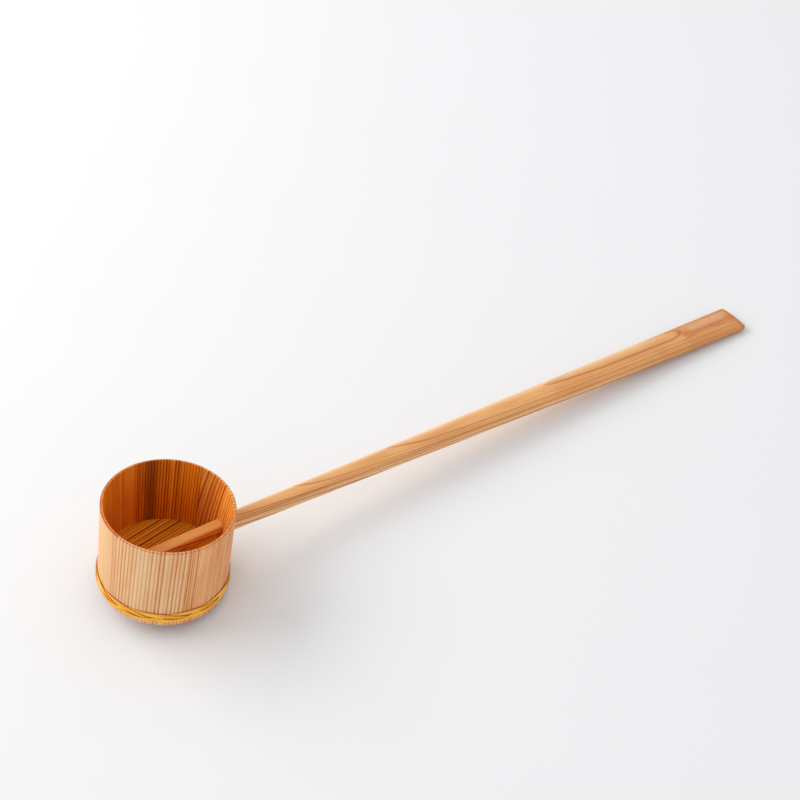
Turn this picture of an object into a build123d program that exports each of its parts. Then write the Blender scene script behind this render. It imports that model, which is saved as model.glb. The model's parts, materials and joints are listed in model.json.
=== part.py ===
from build123d import *
import math
import os

os.makedirs("parts", exist_ok=True)

# Cup, measured in its own upright frame: axis on Z, base edge at zero, handle towards +X
cup_height = 67.7
rim_radius = 44.0
base_radius = 43.2
rim_wall = 2.0
floor_wall = 4.3
rim_ease = 0.35
base_ease = 0.6

# Staves: the azimuth in degrees of the joint where each one starts, going round from the handle
stave_start_angles = {
    "stave_handle": -31.4,
    "stave_rear_right": 31.3,
    "stave_rear_left": 88.8,
    "stave_socket": 143.3,
    "stave_front_left": 197.3,
    "stave_front_right": 260.8,
}
handle_staves = ("stave_handle", "stave_socket")
glue_thickness = 0.04

# Bottom board and the groove that holds its tongue
board_top_height = 15.7
board_thickness = 8.0
board_tongue = 4.5
board_bevel = 5.0
groove_depth = 1.5
board_clearance = 0.08

# Handle: sizes at the cup's axis and at the far end, along its own line
handle_height = 28.5
handle_rise = 5.9
handle_reach = 486.0
root_width = 9.6
root_depth = 9.5
root_crown = 0.35
root_corner = 1.9
end_width = 26.6
end_depth = 5.8
end_crown = 0.8
end_corner = 1.4
end_skew = 4.4
end_rounding = 3.2
outline_margin = 0.02
socket_depth = 1.5
handle_clearance = 0.08

# Bamboo hoop: one strip that goes round several times and weaves over and under itself
hoop_turns = 3
hoop_waves = 11
strip_width = 2.4
strip_thickness = 0.5
hoop_middle_height = 6.7
hoop_swing = 2.85
hoop_lift = 0.78
hoop_lean = 14.0
hoop_phase = 198.8
strip_start_wave = 840.0
strip_end_gap = 1.2
hoop_clearance = 0.15
sections_per_turn = 66
least_strip_gap = 0.4

# Hand-chosen shares of the strip's lean over one wave, for its first and third harmonics
lean_first_share = 0.53
lean_third_share = 0.47

# Bamboo pins across each joint between two staves
pin_diameter = 1.2
pin_length = 9.0
pin_heights = {"low": 24.0, "high": 49.0}
pin_clearance = 0.05

# One overrun for every cut, the rounds that settle the resting tilt, and the degrees in a turn
overrun = 2.0
tilt_rounds = 5
full_turn = 360


def outer_radius(height):
    """Outside radius of the cup's wall at a height."""
    return base_radius + (rim_radius - base_radius) * height / cup_height


inner_rim_radius = rim_radius - rim_wall
inner_board_radius = outer_radius(board_top_height) - floor_wall
tongue_height = board_top_height - board_tongue
groove_radius = inner_board_radius + groove_depth
foot_radius = base_radius - base_ease


def inner_radius(height):
    """Inside radius of the cup's wall at a height, on one taper from the rim to the foot."""
    fall = (cup_height - height) / (cup_height - board_top_height)
    return inner_rim_radius + (inner_board_radius - inner_rim_radius) * fall


def wall_profile():
    """Half section of the wall with its eased edges and the groove for the board."""
    groove_top = board_top_height + board_clearance
    return make_face(
        Plane.XZ
        * Polyline(
            (foot_radius, 0),
            (outer_radius(base_ease), base_ease),
            (outer_radius(cup_height - rim_ease), cup_height - rim_ease),
            (rim_radius - rim_ease, cup_height),
            (inner_rim_radius + rim_ease, cup_height),
            (inner_radius(cup_height - rim_ease), cup_height - rim_ease),
            (inner_radius(groove_top), groove_top),
            (groove_radius, groove_top),
            (groove_radius, tongue_height),
            (inner_radius(tongue_height), tongue_height),
            (inner_radius(base_ease), base_ease),
            (inner_radius(0) + base_ease, 0),
            close=True,
        )
    )


def along_handle(root_value, end_value, distance):
    """Size of the handle at a distance from the cup's axis, between its root and end values."""
    return root_value + (end_value - root_value) * distance / handle_reach


def handle_plane(distance):
    """Plane square to the handle's line, with X across the handle and Y towards its top."""
    rise = math.radians(handle_rise)
    along = Vector(math.cos(rise), 0, math.sin(rise))
    origin = Vector(0, 0, handle_height) + along * distance
    return Plane(origin=origin, x_dir=(0, 1, 0), z_dir=along)


def handle_section(distance, growth):
    """Section of the handle: flat below, domed above, corners rounded, grown by a clearance."""
    half_width = along_handle(root_width, end_width, distance) / 2 + growth
    half_depth = along_handle(root_depth, end_depth, distance) / 2 + growth
    shoulder = half_depth - along_handle(root_crown, end_crown, distance)
    corner = along_handle(root_corner, end_corner, distance)
    outline = [
        ThreePointArc((-half_width, shoulder), (0, half_depth), (half_width, shoulder)),
        Polyline(
            (half_width, shoulder),
            (half_width, -half_depth),
            (-half_width, -half_depth),
            (-half_width, shoulder),
        ),
    ]
    face = make_face(outline)
    return handle_plane(distance) * fillet(face.vertices(), corner)


def socket_wall_distance():
    """Distance along the handle's line from the cup's axis to the wall opposite the handle."""
    rise = math.radians(handle_rise)
    height = handle_height - math.tan(rise) * inner_radius(handle_height)
    return inner_radius(height) / math.cos(rise)


def handle_blank(growth):
    """Tapered handle before its far end is shaped, or the hole for it when it is grown."""
    inner_end = -(socket_wall_distance() + socket_depth) - growth
    outer_end = handle_reach + end_skew + overrun
    return loft([handle_section(inner_end, growth), handle_section(outer_end, growth)])


def end_outline():
    """Plan of the handle up to its oblique far end, whose two corners are rounded."""
    start = -(socket_wall_distance() + socket_depth + overrun)
    near_end = handle_reach + end_skew / 2
    far_end = handle_reach - end_skew / 2

    def side(distance):
        """Half the plan's width at a distance, just outside the handle's side."""
        return along_handle(root_width, end_width, distance) / 2 + outline_margin

    plan = make_face(
        Polyline(
            (start, -side(start)),
            (near_end, -side(near_end)),
            (far_end, side(far_end)),
            (start, side(start)),
            close=True,
        )
    )
    tips = plan.vertices().sort_by(Axis.X)[-2:]
    return fillet(tips, end_rounding)


def build_handle():
    """The handle, one tapered piece with its far end cut to the rounded oblique outline."""
    rise = math.radians(handle_rise)
    plan_plane = Plane(
        origin=(0, 0, handle_height),
        x_dir=(math.cos(rise), 0, math.sin(rise)),
        z_dir=(-math.sin(rise), 0, math.cos(rise)),
    )
    keep = extrude(plan_plane * end_outline(), amount=root_depth + overrun, both=True)
    return handle_blank(0) & keep


def build_pin(azimuth, height, growth):
    """Round bamboo pin square across a joint, or its hole when it is grown by a clearance."""
    middle = (outer_radius(height) + inner_radius(height)) / 2
    seat = Rot(0, 0, azimuth) * Pos(middle, 0, height) * Rot(90, 0, 0)
    return seat * Cylinder(pin_diameter / 2 + growth, pin_length + 2 * growth)


def build_pins():
    """Every pin by name: two levels at each joint."""
    pins = {}
    for number, azimuth in enumerate(stave_start_angles.values(), start=1):
        for level, height in pin_heights.items():
            pins[f"stave_pin_{number}_{level}"] = build_pin(azimuth, height, 0)
    return pins


def build_staves():
    """Staves of one wall profile, with the pin holes, the mortise and the blind socket."""
    starts = list(stave_start_angles.values())
    ends = starts[1:] + [starts[0] + full_turn]
    half_gap = math.degrees(glue_thickness / 2 / rim_radius)
    hole_for_handle = handle_blank(handle_clearance)
    staves = {}
    for name, start, end in zip(stave_start_angles, starts, ends):
        arc = end - start - 2 * half_gap
        body = Rot(0, 0, start + half_gap) * revolve(wall_profile(), Axis.Z, revolution_arc=arc)
        for azimuth in (start, end):
            for height in pin_heights.values():
                body = body - build_pin(azimuth, height, pin_clearance)
        if name in handle_staves:
            body = body - hole_for_handle
        staves[name] = body
    return staves


def build_board():
    """Bottom board: a disc bevelled below to a tongue that sits in the staves' groove."""
    seat_radius = inner_board_radius - board_clearance
    tongue_radius = groove_radius - board_clearance
    profile = make_face(
        Plane.XZ
        * Polyline(
            (0, board_top_height - board_thickness),
            (seat_radius - board_bevel, board_top_height - board_thickness),
            (inner_radius(tongue_height) - board_clearance, tongue_height),
            (tongue_radius, tongue_height),
            (tongue_radius, board_top_height),
            (0, board_top_height),
            close=True,
        )
    )
    return revolve(profile, Axis.Z)


def strip_wave(angle):
    """Phase of the strip's weave, in radians, at an angle along its turns."""
    return math.radians(hoop_waves * (angle - hoop_phase) / hoop_turns)


def strip_corners(wave):
    """Corners of the strip's section, as distance out from its middle line and height."""
    rise = hoop_swing * math.cos(wave)
    lift = hoop_lift * math.sin(2 * wave)
    lean_share = lean_first_share * math.sin(wave) - lean_third_share * math.sin(3 * wave)
    lean = math.radians(hoop_lean) * lean_share
    across = (math.sin(lean) * strip_width / 2, math.cos(lean) * strip_width / 2)
    through = (math.cos(lean) * strip_thickness / 2, -math.sin(lean) * strip_thickness / 2)
    return [
        (lift + a * across[0] + b * through[0], rise + a * across[1] + b * through[1])
        for a, b in ((1, 1), (-1, 1), (-1, -1), (1, -1))
    ]


def strip_seat():
    """How far the strip's middle line stands off the wall, so that it never enters it."""
    samples = [strip_corners(math.radians(degree)) for degree in range(full_turn)]
    return hoop_clearance - min(corner[0] for section in samples for corner in section)


def strip_section(angle, seat):
    """Section of the strip in the upright plane at an angle along its turns."""
    turn = math.radians(angle)
    points = []
    for out, height in strip_corners(strip_wave(angle)):
        level = hoop_middle_height + height
        radius = outer_radius(level) + seat + out
        points.append((radius * math.cos(turn), radius * math.sin(turn), level))
    return make_face(Polyline(*points, close=True))


def segment_distance(point, first, second):
    """Distance from a point to a segment, in one plane."""
    run = (second[0] - first[0], second[1] - first[1])
    offset = (point[0] - first[0], point[1] - first[1])
    share = (offset[0] * run[0] + offset[1] * run[1]) / (run[0] ** 2 + run[1] ** 2)
    share = min(1, max(0, share))
    return math.hypot(offset[0] - share * run[0], offset[1] - share * run[1])


def section_gap(first, second):
    """Gap between two sections of the strip that lie in one upright plane."""
    sides = range(len(first))
    return min(
        segment_distance(point, other[side], other[(side + 1) % len(other)])
        for points, other in ((first, second), (second, first))
        for point in points
        for side in sides
    )


def least_gap_to_itself():
    """Least gap between any two passes of the strip, measured all round the cup."""
    gaps = []
    for degree in range(full_turn):
        passes = [strip_corners(strip_wave(degree + full_turn * turn)) for turn in range(hoop_turns)]
        for one in range(hoop_turns):
            for other in range(one + 1, hoop_turns):
                gaps.append(section_gap(passes[one], passes[other]))
    return min(gaps)


def build_hoop():
    """The hoop: one unbroken strip, its two ends meeting under a crossing at the rear."""
    seat = strip_seat()
    start = hoop_phase + strip_start_wave * hoop_turns / hoop_waves
    half_gap = math.degrees(strip_end_gap / 2 / base_radius)
    step = full_turn / sections_per_turn
    count = hoop_turns * sections_per_turn
    angles = [start + index * step for index in range(count + 1)]
    angles[0] += half_gap
    angles[-1] -= half_gap
    return loft([strip_section(angle, seat) for angle in angles], ruled=True)


def resting_tilt(handle):
    """Angle that lays the cup's foot edge and the handle's far end on the table together."""
    rise = math.radians(handle_rise)
    lever = handle_reach * math.cos(rise) - foot_radius
    height = handle_height + handle_reach * math.sin(rise) - end_depth / 2
    tilt = math.degrees(math.atan2(height, lever))
    foot_edge = Axis((foot_radius, 0, 0), (0, 1, 0))
    for _ in range(tilt_rounds):
        left_over = handle.rotate(foot_edge, tilt).bounding_box().min.Z
        tilt += math.degrees(left_over / lever)
    return tilt


def main():
    """Build every piece upright, lay the dipper down on the table and write the files."""
    handle = build_handle()
    pieces = build_staves()
    pieces["bottom_board"] = build_board()
    pieces["handle"] = handle
    pieces["bamboo_hoop"] = build_hoop()
    pieces.update(build_pins())

    tilt = resting_tilt(handle)
    tipped = {name: Rot(0, tilt, 0) * piece for name, piece in pieces.items()}
    boxes = [piece.bounding_box() for piece in tipped.values()]
    box = boxes[0]
    for other in boxes[1:]:
        box = box.add(other)
    shift = Pos(-box.center().X, -box.center().Y, -box.min.Z)
    for name, piece in tipped.items():
        export_step(shift * piece, f"parts/{name}.step")

    print("tilt", round(tilt, 4), "shift", [round(v, 3) for v in shift.position])
    print("size", [round(v, 2) for v in box.size])
    print("gap of the strip to itself", round(least_gap_to_itself(), 3), "wanted over", least_strip_gap)


main()
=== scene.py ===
"""Looks of a coopered cedar water dipper that lies on a pale table.

The cup, its hoop and its handle are each a class that holds its sizes, builds its meshes in the place that the
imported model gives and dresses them. Sizes are in metres in the cup's own upright frame, with its axis on Z, the
foot's plane at zero and the handle towards +X. Grain is drawn in millimetres.
"""
from __future__ import annotations

import json
import logging
import math
from dataclasses import dataclass, field
from enum import Enum

import bmesh
import bpy
from mathutils import Matrix, Vector

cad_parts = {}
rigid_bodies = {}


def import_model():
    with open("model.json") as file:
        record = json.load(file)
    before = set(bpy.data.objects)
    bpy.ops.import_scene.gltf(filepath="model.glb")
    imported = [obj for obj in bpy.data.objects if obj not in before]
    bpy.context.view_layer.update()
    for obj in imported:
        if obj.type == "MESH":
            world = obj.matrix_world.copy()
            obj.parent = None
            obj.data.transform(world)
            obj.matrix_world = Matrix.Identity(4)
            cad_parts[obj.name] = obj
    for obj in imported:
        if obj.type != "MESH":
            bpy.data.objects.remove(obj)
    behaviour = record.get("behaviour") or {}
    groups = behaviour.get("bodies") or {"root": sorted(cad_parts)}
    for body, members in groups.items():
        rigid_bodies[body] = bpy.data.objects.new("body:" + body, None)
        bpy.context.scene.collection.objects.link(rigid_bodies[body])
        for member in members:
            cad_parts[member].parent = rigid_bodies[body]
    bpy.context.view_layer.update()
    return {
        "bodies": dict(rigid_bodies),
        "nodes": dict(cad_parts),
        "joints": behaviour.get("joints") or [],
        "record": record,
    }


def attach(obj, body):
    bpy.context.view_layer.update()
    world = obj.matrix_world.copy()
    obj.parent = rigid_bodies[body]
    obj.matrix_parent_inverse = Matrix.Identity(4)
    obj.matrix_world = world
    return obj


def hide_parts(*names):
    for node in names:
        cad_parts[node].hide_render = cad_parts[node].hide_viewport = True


LOG = logging.getLogger("dipper")
MM = 0.001
BODY = "root"
UV_NAME = "UVMap"
MERGE_DISTANCE = 1e-6
SEED_STRIDE = 37.0
LINE_RISEN, LINE_FALLS = 0.9, 0.93
NUMBER, COLOUR, VECTOR = "NodeSocketFloat", "NodeSocketColor", "NodeSocketVector"
GEOMETRY, FINISH = "NodeSocketGeometry", "NodeSocketMaterial"
Colour = tuple[float, float, float]
Ramp = tuple[float, ...]


class Slot(Enum):
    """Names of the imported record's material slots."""

    STAVES = "cedar_staves"
    BOARD = "cedar_board"
    HANDLE = "cedar_handle"
    BAMBOO = "split_bamboo"


class Output:
    """One output of a node. The usual signs on it place Math nodes."""

    def __init__(self, w: Wiring, socket: bpy.types.NodeSocket) -> None:
        """Keep the output and the wiring of its tree."""
        self.w, self.socket = w, socket

    def __add__(self, other: Output | float) -> Output:
        """Add a number to it."""
        return self.w.math("ADD", self, other)

    def __sub__(self, other: Output | float) -> Output:
        """Take a number from it."""
        return self.w.math("SUBTRACT", self, other)

    def __rsub__(self, other: Output | float) -> Output:
        """Take it from a number."""
        return self.w.math("SUBTRACT", other, self)

    def __mul__(self, other: Output | float) -> Output:
        """Multiply it by a number."""
        return self.w.math("MULTIPLY", self, other)

    def __truediv__(self, other: Output | float) -> Output:
        """Divide it by a number."""
        return self.w.math("DIVIDE", self, other)

    __radd__, __rmul__ = __add__, __mul__

    def least(self, other: Output | float) -> Output:
        """Give the smaller of it and a number."""
        return self.w.math("MINIMUM", self, other)

    def most(self, other: Output | float) -> Output:
        """Give the larger of it and a number."""
        return self.w.math("MAXIMUM", self, other)

    def away_from_zero(self) -> Output:
        """Give it without its sign."""
        return self.w.math("ABSOLUTE", self)

    def sine(self) -> Output:
        """Give its sine."""
        return self.w.math("SINE", self)

    def cosine(self) -> Output:
        """Give its cosine."""
        return self.w.math("COSINE", self)

    def ease(self, low: Output | float, high: float, to_low: float = 0.0, to_high: float = 1.0) -> Output:
        """Ease it from one range to another, held at the ends.

        Args:
            low: Where the range starts.
            high: Where it ends.
            to_low: What the start becomes.
            to_high: What the end becomes.

        Returns:
            The eased number.
        """
        inputs = {"Value": self, "From Min": low, "From Max": high, "To Min": to_low, "To Max": to_high}
        return self.w.out("ShaderNodeMapRange", inputs, interpolation_type="SMOOTHSTEP")

    def ease_near(self, middle: float, low: float, high: float, *ends: float) -> Output:
        """Ease it over a range that is given by its two distances from a middle."""
        return self.ease(middle + low, middle + high, *ends)


class Wiring:
    """Short ways to place nodes in one tree and to join them."""

    def __init__(self, tree: bpy.types.NodeTree) -> None:
        """Keep the tree that the nodes go into."""
        self.tree = tree

    def add(self, kind: str, inputs: dict | None = None, **settings: object) -> bpy.types.Node:
        """Place a node, set its options and fill or join its inputs.

        Args:
            kind: The node's type name.
            inputs: Values or outputs by the input's name or number.
            **settings: Options of the node itself.

        Returns:
            The new node.
        """
        node = self.tree.nodes.new(kind)
        for name, value in settings.items():
            setattr(node, name, value)
        for key, value in (inputs or {}).items():
            self.feed(node.inputs[key], value)
        return node

    def feed(self, socket: bpy.types.NodeSocket, value: object) -> None:
        """Join an input to an output, or give it a plain value.

        Args:
            socket: The input.
            value: An output or a plain value, where a colour has no alpha.
        """
        if isinstance(value, Output):
            self.tree.links.new(value.socket, socket)
        else:
            socket.default_value = (*value, 1.0) if socket.type == "RGBA" else value

    def results(self, node: bpy.types.Node) -> dict[str, Output]:
        """Give a node's outputs by name."""
        return {socket.name: Output(self, socket) for socket in node.outputs if socket.name}

    def out(self, kind: str, inputs: dict | None = None, **settings: object) -> Output:
        """Place a node as add does and give its first output."""
        return Output(self, self.add(kind, inputs, **settings).outputs[0])

    def math(self, operation: str, *values: Output | float) -> Output:
        """Place a Math node and give its result."""
        return self.out("ShaderNodeMath", dict(enumerate(values)), operation=operation)

    def noise(self, place: Output, scale: float = 1.0, detail: float = 2.0, roughness: float = 0.5) -> Output:
        """Give soft noise at a place."""
        inputs = {"Vector": place, "Scale": scale, "Detail": detail, "Roughness": roughness}
        return self.out("ShaderNodeTexNoise", inputs)

    def xyz(self, *parts: Output | float) -> Output:
        """Join up to three numbers into a vector."""
        return self.out("ShaderNodeCombineXYZ", dict(enumerate(parts)))

    def split(self, vector: Output) -> list[Output]:
        """Give a vector's X, Y and Z."""
        return list(self.results(self.add("ShaderNodeSeparateXYZ", {0: vector})).values())

    def mix(self, share: Output | float, first: object, second: object, blend: str = "MIX") -> Output:
        """Mix two colours.

        Args:
            share: How much of the second shows.
            first: A colour or an output.
            second: A colour or an output.
            blend: The way of mixing.

        Returns:
            The mixed colour.
        """
        node = self.add("ShaderNodeMix", data_type="RGBA", blend_type=blend)
        for index, value in ((0, share), (6, first), (7, second)):
            self.feed(node.inputs[index], value)
        return Output(self, node.outputs[2])

    def group(self, tree: bpy.types.NodeTree, **inputs: object) -> dict[str, Output]:
        """Place a shared group.

        Args:
            tree: The group.
            **inputs: Values or outputs by the input's name, with underscores for spaces.

        Returns:
            The group's outputs by name.
        """
        given = {name.replace("_", " "): value for name, value in inputs.items()}
        return self.results(self.add("ShaderNodeGroup", given, node_tree=tree))


class Group(Wiring):
    """A node tree of its own, with named inputs and outputs."""

    def __init__(
        self, name: str, inputs: dict[str, float | str], outputs: dict[str, str], kind: str = "ShaderNodeTree"
    ) -> None:
        """Start the tree with its sockets and its two end nodes.

        Args:
            name: The tree's name.
            inputs: A starting number, or the kind of socket, by name.
            outputs: Kind of socket by name.
            kind: The kind of tree.
        """
        super().__init__(bpy.data.node_groups.new(name, kind))
        self.ids = {}
        for label, value in inputs.items():
            is_number = isinstance(value, float)
            socket = self.tree.interface.new_socket(
                label, in_out="INPUT", socket_type=NUMBER if is_number else value)
            if is_number:
                socket.default_value = value
            self.ids[label] = socket.identifier
        for label, socket_type in outputs.items():
            self.tree.interface.new_socket(label, in_out="OUTPUT", socket_type=socket_type)
        self.given = self.results(self.add("NodeGroupInput"))
        self.end = self.add("NodeGroupOutput")

    def put_out(self, **values: Output) -> bpy.types.NodeTree:
        """Join the results to the tree's outputs.

        Args:
            **values: Results by the output's name, with underscores for spaces.

        Returns:
            The tree.
        """
        for name, value in values.items():
            self.feed(self.end.inputs[name.replace("_", " ")], value)
        return self.tree


class Paint(Wiring):
    """A new material, with the wiring of its nodes and its shader."""

    def __init__(self, name: str) -> None:
        """Start the material with nothing in it but its shader.

        Args:
            name: The material's name.
        """
        self.material = bpy.data.materials.new(name)
        self.material.use_nodes = True
        super().__init__(self.material.node_tree)
        self.tree.nodes.clear()
        self.shader = self.add("ShaderNodeBsdfPrincipled")
        self.add("ShaderNodeOutputMaterial", {"Surface": Output(self, self.shader.outputs[0])})

    def place(self, frame: Matrix | None = None) -> Output:
        """Give the surface's place.

        Args:
            frame: A frame in the row frame, for the place in it in millimetres, or None for the object's own.

        Returns:
            The place.
        """
        place = self.results(self.add("ShaderNodeTexCoord"))["Object"]
        if frame is None:
            return place
        inverse = frame.inverted()
        return self.out("ShaderNodeMapping", {
            "Vector": place, "Location": tuple(inverse.to_translation() / MM),
            "Rotation": tuple(inverse.to_euler()), "Scale": (1 / MM,) * 3})

    def finish(
        self, colour: Output, roughness: Output | float, specular: float = 0.5, bump: tuple | None = None
    ) -> bpy.types.Material:
        """Fill the shader's inputs.

        Args:
            colour: The base colour.
            roughness: The roughness.
            specular: How strongly it mirrors.
            bump: The surface's height, the bump's strength and its depth in millimetres.

        Returns:
            The material.
        """
        inputs = {"Base Color": colour, "Roughness": roughness, "Specular IOR Level": specular}
        if bump:
            height, strength, depth = bump
            inputs["Normal"] = self.out(
                "ShaderNodeBump", {"Height": height, "Strength": strength, "Distance": depth * MM})
        for name, value in inputs.items():
            self.feed(self.shader.inputs[name], value)
        return self.material


def shown(*levels: int) -> Colour:
    """Turn a colour as a screen shows it into the light that the shader wants.

    Args:
        *levels: Red, green and blue from 0 to 255.

    Returns:
        Linear red, green and blue.
    """
    shares = [level / 255 for level in levels]
    return tuple(share / 12.92 if share <= 0.04045 else ((share + 0.055) / 1.055) ** 2.4 for share in shares)


class GrainGroups:
    """Node groups that the cedar finishes share: growth rings, their colours, and the cup's own directions."""

    def __init__(self) -> None:
        """Build each group once."""
        self.rings, self.cedar, self.round_cup = self._rings(), self._cedar(), self._round_cup()

    @staticmethod
    def _rings() -> bpy.types.NodeTree:
        """Growth rings along one direction, with late wood lines of uneven spacing and strength.

        Returns:
            The group.
        """
        w = Group("growth rings", {
            "Across": 0.0, "Along": 0.0, "Through": 0.0, "Spacing": 2.0, "Wander": 0.3, "Uneven": 0.3,
            "Line Share": 0.35, "Seed": 0.0}, dict.fromkeys(("Late Wood", "Tone", "Fibre", "Cloud"), NUMBER))
        across, along, through, spacing, wander, unevenness, line, seed = w.given.values()

        def long_place(side: Output, fineness: float, stretch: float) -> Output:
            """Give a place for noise that is finer across the wood than along it."""
            return w.xyz(side * fineness, along * stretch, through * fineness)

        seed_shift = seed * SEED_STRIDE
        shifted = across + seed_shift
        drift = (w.noise(long_place(shifted, 0.09, 0.018)) - 0.5) * wander
        count = (across + drift) / spacing
        uneven = w.out(
            "ShaderNodeTexNoise", {"W": count + seed_shift, "Scale": 0.62, "Detail": 1.0}, noise_dimensions="1D")
        count = count + (uneven - 0.5) * unevenness
        number, part = w.math("FLOOR", count), w.math("FRACT", count)
        tone = w.out("ShaderNodeTexWhiteNoise", {"W": number + seed}, noise_dimensions="1D")
        rise = part.ease(1.0 - line * (tone * 0.6 + 0.75), LINE_RISEN)
        late = rise * part.ease(LINE_FALLS, 1.0, 1.0, 0.0) * (tone * 0.4 + 0.6)
        return w.put_out(
            Late_Wood=late, Tone=tone, Fibre=w.noise(long_place(across, 5.0, 0.22), 1.0, 4.0, 0.6),
            Cloud=w.noise(long_place(shifted, 0.16, 0.03)))

    @staticmethod
    def _cedar() -> bpy.types.NodeTree:
        """Colour, gloss and height of cedar from its rings and fibres.

        Returns:
            The group.
        """
        w = Group("cedar colour", {
            "Late Wood": 0.0, "Tone": 0.5, "Fibre": 0.5, "Cloud": 0.5, "Pale": COLOUR, "Warm": COLOUR,
            "Line": COLOUR, "Fibre Strength": 0.16}, {"Color": COLOUR, "Roughness": NUMBER, "Height": NUMBER})
        late, tone, fibre, cloud, pale, warm, line, strength = w.given.values()
        colour = w.mix(late, w.mix(tone * 0.45 + cloud.ease(0.3, 0.7) * 0.55, pale, warm), line)
        level = (fibre - 0.5) * strength * 2.0 + 1.0
        shade = w.out("ShaderNodeCombineColor", {0: level, 1: level, 2: level})
        return w.put_out(
            Color=w.mix(1.0, colour, shade, "MULTIPLY"), Roughness=fibre * 0.2 + 0.5 - late * 0.08,
            Height=late * 0.6 + fibre * 0.5)

    @staticmethod
    def _round_cup() -> bpy.types.NodeTree:
        """Distance round the wall, height and radius of a point of the cup, from its place in the cup's frame.

        Returns:
            The group.
        """
        w = Group("round the cup", {
            "Place": VECTOR, "Middle Azimuth": 0.0, "Wall Radius": 43.0, "Lean": 0.0, "Bow": 0.0},
            dict.fromkeys(("Across", "Height", "Radius"), NUMBER))
        place, azimuth, wall_radius, lean, bow = w.given.values()
        x, y, z = w.split(place)
        turn = w.math("WRAP", w.math("ARCTAN2", y, x) - azimuth, math.pi, -math.pi)
        return w.put_out(
            Across=turn * wall_radius + (z * lean + z * z * bow), Height=z, Radius=w.math("SQRT", x * x + y * y))


@dataclass(frozen=True)
class Bench:
    """What every piece is made with: the shared grain groups and a frame, the cup's unless a finish needs its own."""

    groups: GrainGroups
    place: Matrix


@dataclass(frozen=True)
class StaveGrain:
    """Grain of one stave: colours as they show, ring sizes in millimetres, and the lines' lean.

    The outside and the inside of a stave have colours of their own: the inside is darker and more orange, partly as
    the wood's own and partly as painted shade and warm bounce light in the cup, set stave by stave. A stave may have
    one upright band of painted shade inside, at an azimuth in the cup's frame, and its lines may be calm, which fades
    them except near one azimuth.
    """

    pale: Colour = shown(240, 202, 156)
    warm: Colour = shown(230, 178, 122)
    line: Colour = shown(202, 122, 56)
    # inside colours: darker and more orange, partly the wood's own and partly painted shade and warm bounce light
    inner_pale: Colour = shown(232, 122, 20)
    inner_warm: Colour = shown(210, 94, 8)
    inner_line: Colour = shown(112, 36, 0)
    rim: Colour = shown(240, 176, 120)
    spacing: float = 2.3
    wander: float = 0.6
    uneven: float = 0.5
    line_share: float = 0.42
    lean: float = 0.0
    bow: float = 0.0
    fibre: float = 0.12
    calm: float = 0.0
    lively_azimuth: float = 0.0
    lively_width: float = 5.0
    shade_band_azimuth: float = 0.0
    shade_band_width: float = 1.0
    shade_band_depth: float = 0.0
    seed: float = 0.0


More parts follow.
